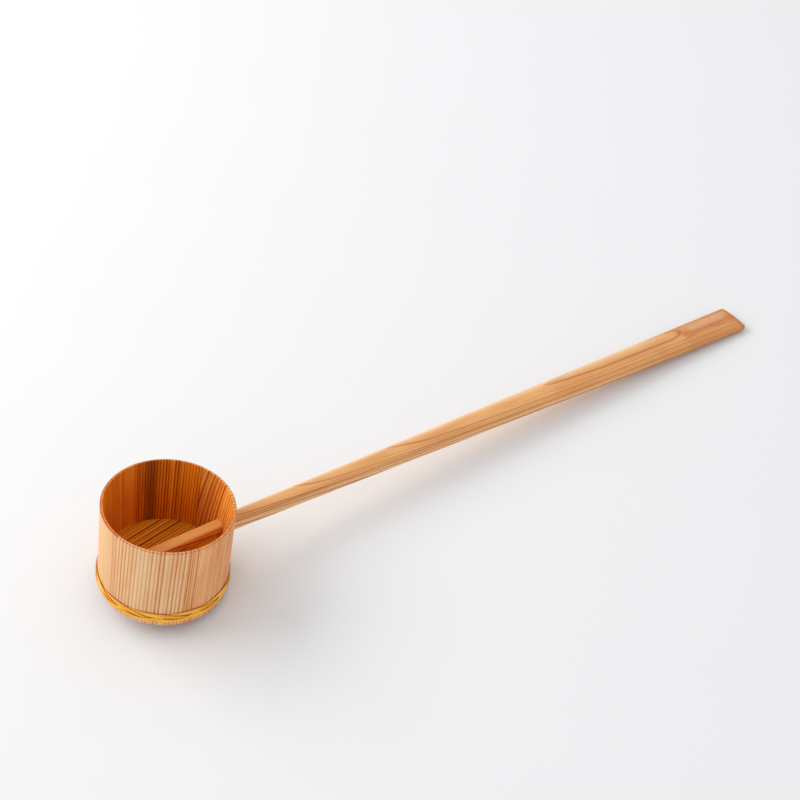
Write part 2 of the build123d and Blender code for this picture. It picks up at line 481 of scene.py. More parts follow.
@dataclass(frozen=True)
class CedarStaveFinish:
    """Planed cedar of one stave, with upright growth lines and a darker end grain on its rim and foot."""

    name: str
    grain: StaveGrain
    middle_azimuth: float
    cup: Cup
    foot_pale: Colour = shown(232, 188, 142)
    end_dark: Colour = shown(124, 50, 12)
    edge_line: Colour = shown(150, 66, 18)
    inner_lines: float = 0.7
    ring_pores: float = 0.8
    pore_size: float = 1.6
    pores: Ramp = (0.45, 0.7, 0.0, 0.3)
    edge_breaks: Ramp = (0.35, 0.6, 0.5, 1.0)
    inside_blend: Ramp = (-0.4, 0.4, 1.0, 0.0)
    wall_blend: Ramp = (-0.12, 0.08)
    slope_blend: Ramp = (-0.1, 0.05)
    edge_blend: Ramp = (-0.55, -0.3, 0.0, 0.75)
    foot_shares: Ramp = (0.3, 0.75)
    specular: float = 0.2
    bump: Ramp = (0.25, 0.1)

    def away(self, across: Output, azimuth: float) -> Output:
        """Give the distance round the wall from an azimuth, in millimetres."""
        turn = math.radians((azimuth - self.middle_azimuth + 180) % 360 - 180)
        return (across - turn * self.cup.wall_radius / MM).away_from_zero()

    def material(self, bench: Bench) -> bpy.types.Material:
        """Build the stave's material.

        Args:
            bench: The shared groups and the cup's frame.

        Returns:
            The material.
        """
        w, grain, cup = Paint(f"cedar_{self.name}"), self.grain, self.cup
        place = w.place(bench.place)
        across, height, radius = w.group(
            bench.groups.round_cup, Place=place, Middle_Azimuth=math.radians(self.middle_azimuth),
            Wall_Radius=cup.wall_radius / MM, Lean=grain.lean, Bow=grain.bow).values()
        rings = w.group(
            bench.groups.rings, Across=across, Along=height, Through=radius, Spacing=grain.spacing,
            Wander=grain.wander, Uneven=grain.uneven, Line_Share=grain.line_share, Seed=grain.seed)
        mid_wall = (cup.rim_radius - cup.rim_slope_width) / MM
        inside = radius.ease_near(mid_wall, *self.inside_blend)
        late = rings["Late Wood"]
        if grain.calm > 0:
            near = self.away(across, grain.lively_azimuth).ease(0.0, grain.lively_width, 1.0, 1.0 - grain.calm)
            late = late * near.most(inside * self.inner_lines)
        # the inside colours carry painted shade and warm bounce light of the cup's inside
        wood = w.group(
            bench.groups.cedar, **(rings | {"Late Wood": late}), Pale=w.mix(inside, grain.pale, grain.inner_pale),
            Warm=w.mix(inside, grain.warm, grain.inner_warm), Line=w.mix(inside, grain.line, grain.inner_line),
            Fibre_Strength=grain.fibre)
        colour = wood["Color"]
        # painted shade: a darker upright band on the inside wall, where it faces away from the light
        if grain.shade_band_depth > 0:
            shade_band = self.away(across, grain.shade_band_azimuth).ease(0.0, grain.shade_band_width, grain.shade_band_depth, 0.0)
            colour = w.mix(shade_band * inside, colour, grain.inner_line)
        slope_foot, edge = (cup.height - cup.rim_slope_drop) / MM, cup.rim_radius / MM
        on_wall = radius.ease_near(mid_wall, *self.wall_blend)
        rim = height.ease_near(slope_foot, *self.slope_blend) * on_wall
        foot = height.ease(*(cup.base_ease * share / MM for share in self.foot_shares), 1.0, 0.0)
        dots = rings["Late Wood"] * self.ring_pores + w.noise(place, self.pore_size, 3.0).ease(*self.pores)
        ends = w.mix(dots, w.mix(rim, self.foot_pale, grain.rim), self.end_dark)
        outer_edge = radius.ease_near(edge, *self.edge_blend) * rings["Fibre"].ease(*self.edge_breaks)
        ends = w.mix(outer_edge * rim, ends, self.edge_line)
        colour = w.mix(rim.most(foot), colour, ends)
        return w.finish(colour, wood["Roughness"], self.specular, (wood["Height"], *self.bump))


@dataclass(frozen=True)
class CedarBoardFinish:
    """Amber cedar of the bottom board, its rings running slantwise to the handle."""

    pale: Colour = shown(252, 168, 36)
    warm: Colour = shown(226, 126, 8)
    line: Colour = shown(104, 38, 0)
    grain_turn: float = 16.0
    ring_slant: float = 0.5
    spacing: float = 2.4
    wander: float = 1.2
    uneven: float = 0.9
    line_share: float = 0.5
    seed: float = 4.0
    fibre: float = 0.14
    specular: float = 0.2
    bump: Ramp = (0.4, 0.12)

    def material(self, bench: Bench) -> bpy.types.Material:
        """Build the board's material.

        Args:
            bench: The shared groups and the cup's frame.

        Returns:
            The material.
        """
        w = Paint("cedar_board_amber")
        turned = bench.place @ Matrix.Rotation(math.radians(self.grain_turn), 4, "Z")
        along, across, up = w.split(w.place(turned))
        rings = w.group(
            bench.groups.rings, Across=across + up * self.ring_slant, Along=along, Through=up,
            Spacing=self.spacing, Wander=self.wander, Uneven=self.uneven, Line_Share=self.line_share,
            Seed=self.seed)
        wood = w.group(
            bench.groups.cedar, **rings, Pale=self.pale, Warm=self.warm, Line=self.line,
            Fibre_Strength=self.fibre)
        return w.finish(wood["Color"], wood["Roughness"], self.specular, (wood["Height"], *self.bump))


@dataclass(frozen=True)
class CedarHandleFinish:
    """Flat-sawn cedar of the handle: long pale tongues on top and growth lines close together along its sides.

    The rings bend round a line above the handle, so the grain's depth is the distance from that line. The top comes
    nearest to it at one distance along, and its far part leaves it again past another, which closes the last pale
    tongue. Late wood is narrow on top and wider towards the near side. Sizes are in millimetres. Light and shade are
    painted in as well: a highlight along the far edge, light on the shaded near side, and inside the cup a warm shade
    over the bar, a lighter top and darker lines on its shaded side.
    tongue. Late wood is narrow on top and wider towards the near side. Sizes are in millimetres.
    """

    pale: Colour = shown(226, 170, 108)
    warm: Colour = shown(206, 142, 82)
    line: Colour = shown(172, 88, 26)
    # painted highlight: a paler band along the far rounded edge, where light glances off it
    far_edge_highlight: Colour = shown(252, 212, 168)
    # painted light on the near side, which faces away from the lamp and lies in shade
    near_side_light: Colour = shown(246, 196, 140)
    # painted shade: late wood darkened on the bar's shaded side inside the cup
    inside_line_shade: Colour = shown(140, 56, 0)
    end_tint: Colour = shown(188, 104, 46)
    end_patch: Colour = shown(216, 168, 128)
    # painted warm shade: a tint that darkens and warms the bar inside the cup
    inside: Colour = shown(255, 240, 160)
    # painted light on the bar's top inside the cup
    inside_top_light: Colour = shown(250, 180, 98)
    inside_from: float = 41.5
    inside_step: float = 0.8
    inside_fall: float = 0.045
    bend_across: float = 6.0
    bend_radius: float = 50.0
    root_top: float = 4.75
    end_top: float = 2.9
    crown: float = 0.9
    root_half: float = 4.8
    end_half: float = 13.3
    reach: float = 486.0
    nearest_from: float = 390.0
    opening: float = 4.2e-5
    leaves_from: float = 422.0
    leaving_side: Ramp = (-6.0, 0.0)
    closing: float = 9.0e-4
    ring_shift: float = 0.115
    side_share: float = 0.3
    near_bend: float = 1.4
    spacing: float = 1.65
    wander: float = 0.05
    wobble: float = 14.0
    line_share: Ramp = (-7.0, 3.0, 0.5, 0.13)
    lines_between: Ramp = (-4.0, 0.0, 0.8, 0.0)
    bar_top: Ramp = (2.6, 3.4)
    bar_side_shade: Ramp = (2.6, 3.4, 0.7, 0.0)
    near_tone: Ramp = (-0.6, 0.5, 0.3, 0.0)
    fibre_tone: Ramp = (0.35, 0.65, 0.0, 0.45)
    far_highlight_across: Ramp = (0.25, 1.0, 0.0, 0.7)
    far_highlight_at_end: Ramp = (390.0, 440.0, 1.0, 0.0)
    far_highlight_at_root: Ramp = (90.0, 260.0, 1.35, 1.0)
    lit_below: Ramp = (1.0, 2.6, 0.0, 0.75)
    lit_at_end: Ramp = (330.0, 440.0, 1.0, 0.25)
    tint_across: Ramp = (1.0, 6.0, 0.7, 0.25)
    patch_across: tuple[Ramp, Ramp] = ((1.0, 3.5, 0.0, 0.65), (7.5, 9.5, 1.0, 0.0))
    patch_along: tuple[Ramp, Ramp] = ((441.0, 449.0), (476.0, 483.0, 1.0, 0.0))
    brink_across: Ramp = (0.7, 0.95, 0.0, 0.5)
    brink_along: Ramp = (-4.0, 1.0, 0.0, 0.55)
    end_blend: Ramp = (12.0, 17.0)
    cup_blend: Ramp = (-1.5, 1.5, 1.0, 0.0)
    step_blend: Ramp = (-0.3, 1.7)
    fibre_shake: float = 0.3
    shake_middle: float = 0.65
    ring_tone: float = 0.4
    top_fade: float = 0.7
    top_light: float = 0.6
    tint_middle: float = 1.0
    fibre: float = 0.14
    specular: float = 0.4
    bump: Ramp = (0.25, 0.1)

    def top(self, along: Output, drop: float = 0.0) -> Output:
        """Give the height of the handle's top at a distance along it, less a drop."""
        return along * ((self.end_top - self.root_top) / self.reach) + (self.root_top - drop)

    def share_across(self, along: Output, across: Output) -> Output:
        """Give a place across as a share of the handle's half width there."""
        return across / (along * ((self.end_half - self.root_half) / self.reach) + self.root_half)

    def level(self, along: Output, across: Output, up: Output) -> Output:
        """Give the place of a point among the rings.

        Args:
            along: Distance along the handle.
            across: Distance across it.
            up: Distance towards its top.

        Returns:
            The place.
        """
        below = (self.top(along, self.crown) - up).most(0.0)
        before = (along - self.nearest_from).least(0.0)
        after = (along - self.leaves_from).most(0.0)
        near = self.share_across(along, across).least(0.0)
        depth = before * before * self.opening + after * after * self.closing * across.ease(*self.leaving_side)
        depth = depth + below * self.side_share + near * near * self.near_bend
        beside, far = across - self.bend_across, depth + self.bend_radius
        return self.bend_radius + self.ring_shift - along.w.math("SQRT", far * far + beside * beside)

    def material(self, bench: Bench) -> bpy.types.Material:
        """Build the handle's material.

        Args:
            bench: The shared groups and the handle's frame.

        Returns:
            The material.
        """
        w, start = Paint("cedar_handle_flat_sawn"), self.inside_from
        along, across, up = w.split(w.place(bench.place))
        up = up + (start - along).most(0.0) * self.inside_fall
        up = up + along.ease_near(start, *self.step_blend, self.inside_step, 0.0)
        fibres = w.group(bench.groups.rings, Across=across, Along=along, Through=up)
        shake = (fibres["Cloud"] + fibres["Fibre"] * self.fibre_shake - self.shake_middle) * self.wobble
        level, out = self.level(along + shake, across, up), self.share_across(along, across)
        rings, between = (w.group(
            bench.groups.rings, Across=level, Along=along, Through=across, Spacing=spacing, Wander=self.wander,
            Uneven=0.0, Seed=0.0, Line_Share=across.ease(*self.line_share))
            for spacing in (self.spacing, self.spacing / 2))
        in_cup, on_top = along.ease_near(start, *self.cup_blend), up.ease(*self.bar_top)
        late = (between["Late Wood"] * across.ease(*self.lines_between)).most(rings["Late Wood"])
        late = late * (1.0 - in_cup * (on_top * self.top_fade))
        tone = rings["Tone"] * self.ring_tone + out.ease(*self.near_tone) + fibres["Fibre"].ease(*self.fibre_tone)
        wood = w.group(
            bench.groups.cedar, **(fibres | {"Late Wood": late, "Tone": tone}), Pale=self.pale, Warm=self.warm,
            Line=self.line, Fibre_Strength=self.fibre)
        # painted highlight along the far edge, stronger near the root and fading towards the far end
        far = out.ease(*self.far_highlight_across) * along.ease(*self.far_highlight_at_end) * along.ease(*self.far_highlight_at_root)
        colour = w.mix(far, wood["Color"], self.far_edge_highlight)
        # painted light: the side below the top is lightened, less so towards the far end
        lit = (self.top(along) - up).ease(*self.lit_below) * (1.0 - late) * along.ease(*self.lit_at_end)
        colour = w.mix(lit, colour, self.near_side_light)
        at_end = (along + shake).ease_near(self.leaves_from, *self.end_blend)
        middle = (across - self.tint_middle).away_from_zero().ease(*self.tint_across)
        colour = w.mix(at_end * middle, colour, self.end_tint)
        (left, right), (first, last) = self.patch_across, self.patch_along
        patch = across.ease(*left) * across.ease(*right) * along.ease(*first) * along.ease(*last)
        colour = w.mix(patch, colour, self.end_patch)
        brink = along.ease_near(self.reach, *self.brink_along)
        colour = w.mix((at_end * out.ease(*self.brink_across)).most(brink), colour, self.end_tint)
        # painted warm shade over the bar inside the cup
        colour = w.mix(in_cup, colour, w.mix(1.0, colour, self.inside, "MULTIPLY"))
        # painted light: the bar's top inside the cup is lightened
        colour = w.mix(in_cup * (on_top * self.top_light), colour, self.inside_top_light)
        # painted shade: darker lines on the bar's shaded side in the cup
        colour = w.mix(in_cup * (late * up.ease(*self.bar_side_shade)), colour, self.inside_line_shade)
        return w.finish(colour, wood["Roughness"], self.specular, (wood["Height"], *self.bump))


@dataclass(frozen=True)
class BambooFinish:
    """Split bamboo: a shiny golden skin with fine lengthwise fibres, and edges darker both as cut edges and as
    painted shade in the gaps between the strands.
    """

    skin: Colour = shown(255, 202, 78)
    deep: Colour = shown(242, 158, 44)
    # colour of the cut edges, which also paints the shade in the gaps between strands
    edge: Colour = shown(206, 122, 24)
    roughness: float = 0.4
    strip_length: float = 840.0
    strip_girth: float = 6.1
    skin_share: float = 2 / 3
    fibre_size: Ramp = (0.05, 2.2)
    cloud_size: Ramp = (0.06, 0.3)
    fibre_tone: Ramp = (0.5, 0.62, 0.0, 0.8)
    cloud_tone: Ramp = (0.3, 0.7)
    edge_and_gap_shade: Ramp = (0.02, 0.1, 0.85, 0.0)
    specular: float = 0.15
    bump: Ramp = (0.25, 0.08)

    def material(self) -> bpy.types.Material:
        """Build the strip's material, which follows the strip's own UV map.

        Returns:
            The material.
        """
        w = Paint("bamboo_skin")
        gone, side, _ = w.split(w.out("ShaderNodeUVMap", uv_map=UV_NAME))
        along, around = gone * self.strip_length, side * self.strip_girth
        (fibre_long, fibre_wide), (cloud_long, cloud_wide) = self.fibre_size, self.cloud_size
        fibre = w.noise(w.xyz(along * fibre_long, around * fibre_wide), detail=4.0)
        cloud = w.noise(w.xyz(along * cloud_long, around * cloud_wide))
        colour = w.mix(cloud.ease(*self.cloud_tone), self.skin, self.deep)
        colour = w.mix(fibre.ease(*self.fibre_tone), colour, self.deep)
        from_edge = (side - self.skin_share).away_from_zero().least(side.least(1.0 - side))
        # darker edges: partly the cut edges, partly painted shade between the strands
        colour = w.mix(from_edge.ease(*self.edge_and_gap_shade), colour, self.edge)
        return w.finish(colour, self.roughness, self.specular, (fibre, *self.bump))


def plain_mesh(obj: bpy.types.Object, material: bpy.types.Material) -> None:
    """Turn an object's modifiers into a plain mesh and take the modifiers off.

    Args:
        obj: The object with its modifiers.
        material: The finish that its faces wear.
    """
    depsgraph = bpy.context.evaluated_depsgraph_get()
    mesh = bpy.data.meshes.new_from_object(obj.evaluated_get(depsgraph), depsgraph=depsgraph)
    old = obj.data
    obj.modifiers.clear()
    obj.data = mesh
    mesh.name = obj.name
    bpy.data.meshes.remove(old)
    mesh.materials.clear()
    mesh.materials.append(material)


def new_object(name: str, data: bpy.types.ID) -> bpy.types.Object:
    """Put a mesh, lamp or camera into the scene as an object at the origin.

    Args:
        name: The object's name.
        data: What it shows.

    Returns:
        The object.
    """
    obj = bpy.data.objects.new(name, data)
    bpy.context.scene.collection.objects.link(obj)
    return obj


def clean(mesh: bpy.types.Mesh, sharp_degrees: float, fill: bool = False) -> None:
    """Merge doubles, close open ends, point the faces outwards and mark the sharp edges.

    Args:
        mesh: The mesh to clean.
        sharp_degrees: Edges that turn by more than this stay crisp.
        fill: Whether open ends are closed with a face.
    """
    bm = bmesh.new()
    bm.from_mesh(mesh)
    bmesh.ops.remove_doubles(bm, verts=bm.verts, dist=MERGE_DISTANCE)
    if fill:
        bmesh.ops.holes_fill(bm, edges=bm.edges, sides=0)
    bmesh.ops.recalc_face_normals(bm, faces=bm.faces)
    bm.to_mesh(mesh)
    bm.free()
    mesh.shade_smooth()
    mesh.set_sharp_from_angle(angle=math.radians(sharp_degrees))


def dress(
    obj: bpy.types.Object, bench: Bench, material: bpy.types.Material, node: str,
    sharp_degrees: float, fill: bool = False,
) -> bpy.types.Object:
    """Move a piece from the cup's frame into its place, clean it, and let it stand for its node.

    Args:
        obj: The piece, its mesh in the cup's frame.
        bench: What the pieces share.
        material: Its finish.
        node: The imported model's node that it replaces.
        sharp_degrees: Edges that turn by more than this stay crisp.
        fill: Whether open ends are closed with a face.

    Returns:
        The piece.
    """
    obj.data.transform(bench.place)
    clean(obj.data, sharp_degrees, fill)
    obj.data.materials.clear()
    obj.data.materials.append(material)
    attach(obj, BODY)
    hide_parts(node)
    return obj


def point(out: float, up: float) -> Vector:
    """Give a point of a section, X outwards and Z up."""
    return Vector((out, 0, up))


def eased(first: Vector, corner: Vector, last: Vector, steps: int = 3) -> list[Vector]:
    """Round a corner of an outline.

    Args:
        first: Where the rounding starts.
        corner: The sharp corner that it replaces.
        last: Where it ends.
        steps: How many stretches it has.

    Returns:
        The points from first to last.
    """
    shares = [index / steps for index in range(steps + 1)]
    return [first * (1 - t) ** 2 + corner * 2 * t * (1 - t) + last * t**2 for t in shares]


class GeometryTree(Group):
    """A Geometry Nodes tree that carries a profile, which the object holds, along a path round the cup's axis."""

    def __init__(self, name: str, numbers: dict[str, float]) -> None:
        """Start the tree.

        Args:
            name: The tree's name.
            numbers: Its inputs besides the profile and the finish, Steps and Sides among them.
        """
        inputs = {"Profile": GEOMETRY, **numbers, "Finish": FINISH}
        super().__init__(name, inputs, {"Geometry": GEOMETRY}, "GeometryNodeTree")
        self.numbers = numbers

    def sheet(self) -> tuple[dict[str, Output], Output, list[Output]]:
        """Lay out a sheet of points, one row for each step and one column for each point of the profile.

        Returns:
            The sheet's mesh and UV map, the share of the path that a point has gone, and its place in the profile.
        """
        steps, sides = self.given["Steps"], self.given["Sides"]
        grid = self.results(self.add("GeometryNodeMeshGrid", {
            "Size X": 1.0, "Size Y": 1.0, "Vertices X": steps + 1.0, "Vertices Y": sides + 1.0}))
        place = self.out("GeometryNodeInputPosition")
        x, y, _ = self.split(place)
        number = self.math("MODULO", self.math("ROUND", (y + 0.5) * sides), sides)
        inputs = {"Geometry": self.given["Profile"], "Value": place, "Index": number}
        sample = self.out("GeometryNodeSampleIndex", inputs, data_type="FLOAT_VECTOR", domain="POINT")
        return grid, x + 0.5, self.split(sample)

    def set_round(self, mesh: Output, radius: Output, turn: Output, height: Output) -> Output:
        """Set a mesh's points round the cup's axis."""
        place = self.xyz(radius * turn.cosine(), radius * turn.sine(), height)
        return self.out("GeometryNodeSetPosition", {"Geometry": mesh, "Position": place})

    def end_in(self, geometry: Output) -> None:
        """End the tree in merged, real geometry that wears its finish.

        Args:
            geometry: What the tree has made.
        """
        whole = self.out("GeometryNodeMergeByDistance", {"Geometry": geometry, "Distance": MERGE_DISTANCE})
        real = self.out("GeometryNodeRealizeInstances", {"Geometry": whole})
        inputs = {"Geometry": real, "Material": self.given["Finish"]}
        self.put_out(Geometry=self.out("GeometryNodeSetMaterial", inputs))

    def shape(
        self, name: str, outline: list[Vector], material: bpy.types.Material, **changes: float
    ) -> bpy.types.Object:
        """Make an object that holds an outline, run the tree on it and keep the result as its mesh.

        Args:
            name: The object's name.
            outline: The closed profile.
            material: The finish.
            **changes: Numbers that differ from the tree's own, with underscores for spaces.

        Returns:
            The object.
        """
        mesh = bpy.data.meshes.new("profile")
        mesh.from_pydata(outline, [], [tuple(range(len(outline)))])
        obj = new_object(name, mesh)
        modifier = obj.modifiers.new(self.tree.name, "NODES")
        modifier.node_group = self.tree
        values = self.numbers | {label.replace("_", " "): value for label, value in changes.items()}
        for label, value in (values | {"Finish": material}).items():
            modifier[self.ids[label]] = value
        obj.update_tag()
        plain_mesh(obj, material)
        return obj


@dataclass
class Cup:
    """The coopered cup: six staves round a bottom board, in the cup's upright frame."""

    height: float = 67.7 * MM
    rim_radius: float = 44.0 * MM
    base_radius: float = 43.2 * MM
    rim_wall: float = 2.0 * MM
    floor_wall: float = 4.3 * MM
    rim_ease: float = 0.25 * MM
    rim_slope_width: float = 1.2 * MM
    rim_slope_drop: float = 0.65 * MM
    rim_inner_ease: float = 0.7 * MM
    base_ease: float = 0.6 * MM
    board_top: float = 15.7 * MM
    board_thickness: float = 8.0 * MM
    board_tongue: float = 4.5 * MM
    board_bevel: float = 5.0 * MM
    bevel_rise: float = 0.6
    groove_depth: float = 1.5 * MM
    clearance: float = 0.08 * MM
    joint_gap: float = 0.04 * MM
    step_degrees: float = 1.5
    sharp_degrees: float = 30.0
    pierced: tuple[str, ...] = ("stave_handle", "stave_socket")
    stave_starts: dict[str, float] = field(default_factory=lambda: {
        "stave_handle": -31.4,
        "stave_rear_right": 31.3,
        "stave_rear_left": 88.8,
        "stave_socket": 143.3,
        "stave_front_left": 197.3,
        "stave_front_right": 260.8,
    })
    grains: dict[str, StaveGrain] = field(default_factory=lambda: {
        # inside colours differ stave by stave as painted light and shade: brighter where light reaches the inner wall
        "stave_handle": StaveGrain(
            spacing=3.0, lean=0.02, bow=0.0014, wander=0.8, uneven=0.5, seed=11.0, line_share=0.45,
            shade_band_azimuth=36.0, shade_band_width=28.0, shade_band_depth=0.4,
            inner_pale=shown(255, 176, 72), inner_warm=shown(238, 136, 34), inner_line=shown(148, 50, 0)),
        "stave_rear_right": StaveGrain(
            spacing=2.1, wander=0.35, uneven=0.3, seed=5.0, line_share=0.5, shade_band_azimuth=79.0, shade_band_width=9.0,
            shade_band_depth=0.75, inner_pale=shown(236, 138, 12), inner_warm=shown(208, 102, 4),
            inner_line=shown(96, 28, 0), rim=shown(204, 116, 56)),
        "stave_rear_left": StaveGrain(
            spacing=1.5, wander=1.0, uneven=0.8, seed=7.0, line_share=0.4, shade_band_azimuth=90.0, shade_band_width=5.0,
            shade_band_depth=0.65, inner_pale=shown(238, 138, 28), inner_warm=shown(220, 114, 14),
            inner_line=shown(150, 58, 2), rim=shown(198, 108, 48)),
        "stave_socket": StaveGrain(
            spacing=1.5, wander=1.0, uneven=0.8, seed=3.0, line_share=0.5, calm=0.85, lively_azimuth=194.0,
            lively_width=8.0, pale=shown(236, 190, 140), warm=shown(230, 178, 126), line=shown(188, 100, 36),
            inner_pale=shown(250, 150, 36), inner_warm=shown(234, 128, 18), inner_line=shown(170, 74, 4),
            rim=shown(206, 118, 60)),
        "stave_front_left": StaveGrain(
            spacing=2.6, wander=0.3, uneven=0.3, lean=-0.03, seed=1.0, line_share=0.5, line=shown(196, 100, 20)),
        "stave_front_right": StaveGrain(
            spacing=1.6, wander=1.4, uneven=1.3, lean=-0.03, seed=9.0, line_share=0.55, fibre=0.34, calm=0.45,
            lively_azimuth=264.0, lively_width=7.0, pale=shown(242, 186, 130), warm=shown(224, 150, 90),
            line=shown(176, 78, 12)),
    })

    @property
    def wall_radius(self) -> float:
        """Give the wall's outside radius halfway up."""
        return (self.rim_radius + self.base_radius) / 2

    @property
    def tongue_height(self) -> float:
        """Give the height of the lower face of the board's tongue."""
        return self.board_top - self.board_tongue

    def outer(self, height: float) -> float:
        """Give the wall's outside radius at a height."""
        return self.base_radius + (self.rim_radius - self.base_radius) * height / self.height

    def inner(self, height: float) -> float:
        """Give the wall's inside radius at a height."""
        at_rim, at_board = self.rim_radius - self.rim_wall, self.outer(self.board_top) - self.floor_wall
        return at_rim + (at_board - at_rim) * (self.height - height) / (self.height - self.board_top)

    def place(self, record: dict) -> Matrix:
        """Find the cup's frame in the row frame from the foot that the record states.

        Args:
            record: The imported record.

        Returns:
            The frame's matrix.
        """
        foot = next(mount for mount in record["mounts"] if mount["name"] == "foot_ring")
        up = -Vector(foot["axis"]).normalized()
        forward = Vector((up.z, 0.0, -up.x))
        origin = Vector(foot["pos_m"]) + forward * ((self.inner(0) + self.base_radius) / 2)
        turn = Matrix((forward, up.cross(forward), up)).transposed().to_4x4()
        return Matrix.Translation(origin) @ turn

    def wall_outline(self) -> list[Vector]:
        """Give the wall's section with its edges rounded.

        Returns:
            The closed outline's points.
        """
        def outside(up: float) -> Vector:
            """Give a point of the outside face."""
            return point(self.outer(up), up)

        def inside(up: float) -> Vector:
            """Give a point of the inside face."""
            return point(self.inner(up), up)

        top, ease, foot, tongue = self.height, self.rim_ease, self.base_ease, self.tongue_height
        slope_foot = top - self.rim_slope_drop
        low, high = outside(slope_foot), point(self.rim_radius - self.rim_slope_width, top)
        at_rim, inner_ease = self.rim_radius - self.rim_wall, self.rim_inner_ease
        groove_top, groove = self.board_top + self.clearance, self.inner(self.board_top) + self.groove_depth
        return [
            *eased(point(self.base_radius - foot, 0), point(self.base_radius, 0), outside(foot)),
            *eased(outside(slope_foot - ease), low, low + (high - low).normalized() * ease),
            high,
            *eased(point(at_rim + inner_ease, top), point(at_rim, top), inside(top - inner_ease)),
            inside(groove_top), point(groove, groove_top), point(groove, tongue), inside(tongue),
            *eased(inside(foot), inside(0), point(self.inner(0) + foot, 0)),
        ]

    def board_outline(self) -> list[Vector]:
        """Give the board's half section.

        Returns:
            The points from the axis below, round the edge, to the axis above.
        """
        bottom, top, tongue = self.board_top - self.board_thickness, self.board_top, self.tongue_height
        seat = self.inner(top) - self.clearance
        edge = self.inner(top) + self.groove_depth - self.clearance
        low, ease = seat - self.board_bevel, self.rim_ease
        bevel = point(low + ease, bottom + ease * self.bevel_rise)
        return [
            point(0, bottom), *eased(point(low - ease, bottom), point(low, bottom), bevel),
            point(self.inner(tongue) - self.clearance, tongue), point(edge, tongue), point(edge, top),
            point(0, top),
        ]

    @staticmethod
    def sweep() -> GeometryTree:
        """Build the tree that turns a section round the cup's axis into one closed stave.

        Returns:
            The tree.
        """
        w = GeometryTree("stave from its section", {
            "Start Angle": 0.0, "Arc Angle": 1.0, "Steps": 40.0, "Sides": 20.0})
        first, arc = w.given["Start Angle"], w.given["Arc Angle"]
        grid, gone, (out, _, up) = w.sheet()
        joined = w.add("GeometryNodeJoinGeometry", {0: w.set_round(grid["Mesh"], out, first + gone * arc, up)})
        for angle in (first, first + arc):
            inputs = {"Geometry": w.given["Profile"], "Rotation": w.xyz(0.0, 0.0, angle)}
            w.feed(joined.inputs[0], w.out("GeometryNodeTransform", inputs))
        w.end_in(w.results(joined)["Geometry"])
        return w

    def build_staves(self, bench: Bench, way: bpy.types.Object) -> list[bpy.types.Object]:
        """Build the six staves, cut the handle's way through them and dress each in its own grain.

        Args:
            bench: What the pieces share.
            way: The shape of the handle's way, in the cup's frame.

        Returns:
            The staves.
        """
        rule, outline = self.sweep(), self.wall_outline()
        starts = list(self.stave_starts.values())
        half_gap = math.degrees(self.joint_gap / 2 / self.rim_radius)
        staves = []
        for name, first, last in zip(self.stave_starts, starts, starts[1:] + [starts[0] + 360]):
            arc = last - first - 2 * half_gap
            material = CedarStaveFinish(name, self.grains[name], (first + last) / 2, self).material(bench)
            stave = rule.shape(
                f"dressed_{name}", outline, material, Start_Angle=math.radians(first + half_gap),
                Arc_Angle=math.radians(arc), Steps=float(round(arc / self.step_degrees)),
                Sides=float(len(outline)))
            clean(stave.data, self.sharp_degrees)
            if name in self.pierced:
                modifier = stave.modifiers.new("mortise", "BOOLEAN")
                modifier.operation, modifier.solver, modifier.object = "DIFFERENCE", "EXACT", way
                plain_mesh(stave, material)
            staves.append(dress(stave, bench, material, name, self.sharp_degrees))
        return staves

    def build_board(self, bench: Bench) -> bpy.types.Object:
        """Build the bottom board, turned from its half section.

        Args:
            bench: What the pieces share.

        Returns:
            The board.
        """
        outline = self.board_outline()
        steps = round(360 / self.step_degrees)
        bm = bmesh.new()
        poles = [bm.verts.new(outline[0]), bm.verts.new(outline[-1])]
        rings = []
        for index in range(steps):
            turn = Matrix.Rotation(math.radians(360 * index / steps), 3, "Z")
            rings.append([bm.verts.new(turn @ place) for place in outline[1:-1]])
        for ring, following in zip(rings, rings[1:] + rings[:1]):
            bm.faces.new((poles[0], following[0], ring[0]))
            bm.faces.new((poles[1], ring[-1], following[-1]))
            for low in range(len(ring) - 1):
                bm.faces.new((ring[low], following[low], following[low + 1], ring[low + 1]))
        mesh = bpy.data.meshes.new("dressed_bottom_board")
        bm.to_mesh(mesh)
        bm.free()
        board, material = new_object("dressed_bottom_board", mesh), CedarBoardFinish().material(bench)
        return dress(board, bench, material, "bottom_board", self.sharp_degrees)


